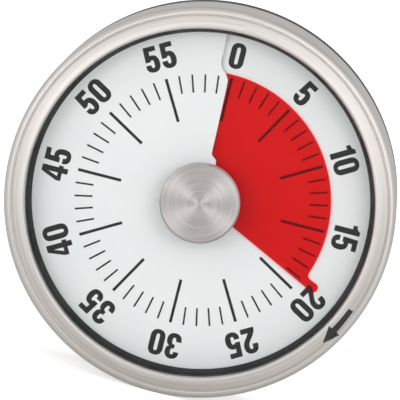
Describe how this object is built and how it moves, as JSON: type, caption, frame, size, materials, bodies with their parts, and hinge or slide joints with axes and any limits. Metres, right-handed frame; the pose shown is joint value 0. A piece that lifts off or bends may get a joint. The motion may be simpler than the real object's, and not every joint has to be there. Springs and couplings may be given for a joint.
{
  "type": "visual countdown timer",
  "caption": "Round wind-up countdown timer with a steel ring, a printed minute dial and a red film sector that shrinks as the time runs down.",
  "frame": {"origin": "centre of the flat magnetic back face", "axes": "+Y out of the back face, the dial faces -Y, +Z towards the zero mark, +X to the right as the dial is seen"},
  "size_m": [0.08, 0.0275, 0.08],
  "materials": {
    "brushed_steel": "circularly brushed stainless steel",
    "turned_steel": "turned stainless steel",
    "black_abs": "fine satin moulded",
    "white_abs": "plain moulded",
    "printed_dial": "matte printed sheet",
    "red_film": "satin film",
    "clear_lens": "clear moulded acrylic",
    "brass": "stamped",
    "steel": "turned and stamped steel",
    "spring_steel": "blued strip",
    "bell_steel": "nickel plated",
    "magnet": "sintered",
    "screw_steel": "zinc plated"
  },
  "bodies": {
    "base": {"rear_housing": "black_abs", "magnets": "magnet", "case_screws": "screw_steel", "dial_carrier": "white_abs", "dial_sheet": "printed_dial", "movement_rear_plate": "brass", "movement_front_plate": "brass", "plate_pillars": "steel", "pillar_nuts": "screw_steel", "mainspring": "spring_steel", "bell": "bell_steel", "bell_post": "steel", "bell_nut": "screw_steel"},
    "head": {"bezel_ring": "brushed_steel", "bezel_sleeve": "black_abs", "lens": "clear_lens", "lens_retainer": "black_abs", "knob_core": "black_abs", "knob_cap": "turned_steel", "drive_hub": "white_abs", "centre_screw": "screw_steel", "main_arbor": "steel", "main_wheel": "brass", "trip_cam": "white_abs"},
    "film": {"red_film": "red_film"},
    "second": {"second_arbor": "steel", "second_pinion": "steel", "second_wheel": "brass"},
    "third": {"third_arbor": "steel", "third_pinion": "steel", "third_wheel": "brass"},
    "escape": {"escape_arbor": "steel", "escape_pinion": "steel", "escape_wheel": "brass"},
    "balance": {"balance_arbor": "steel", "pallet_lever": "steel", "balance_wheel": "brass"},
    "hammer": {"hammer_arbor": "steel", "hammer_lever": "steel", "hammer_tail": "steel", "hammer_head": "brass"}
  },
  "joints": [
    {"name": "head_turn", "type": "hinge", "parent": "base", "child": "head", "pos_m": [0, 0, 0], "axis": [0, 1, 0], "range_deg": [-115.5, 226.5]},
    {"name": "film_climb", "type": "slide", "parent": "head", "child": "film", "axis": [0, -1, 0], "range_m": [-0.00035, 0.00069]},
    {"name": "second_turn", "type": "hinge", "parent": "base", "child": "second", "pos_m": [-0.01516, 0, 0.00875], "axis": [0, 1, 0], "range_deg": [-1359, 693]},
    {"name": "third_turn", "type": "hinge", "parent": "base", "child": "third", "pos_m": [-0.02531, 0, 0.00402], "axis": [0, 1, 0], "range_deg": [-4158, 8154]},
    {"name": "escape_turn", "type": "hinge", "parent": "base", "child": "escape", "pos_m": [-0.02235, 0, -0.00233], "axis": [0, 1, 0], "range_deg": [-32616, 16632]},
    {"name": "balance_swing", "type": "hinge", "parent": "base", "child": "balance", "pos_m": [-0.02235, 0, -0.01053], "axis": [0, 1, 0], "range_deg": [-8, 8]},
    {"name": "hammer_swing", "type": "hinge", "parent": "base", "child": "hammer", "pos_m": [0.014, 0, 0.01999], "axis": [0, 1, 0], "range_deg": [-12, 8]}
  ],
  "couplings": [
    {"joint": "film_climb", "follows": "head_turn", "m_per_rad": 0.00017507},
    {"joint": "second_turn", "follows": "head_turn", "ratio": -6},
    {"joint": "third_turn", "follows": "head_turn", "ratio": 36},
    {"joint": "escape_turn", "follows": "head_turn", "ratio": -144}
  ]
}
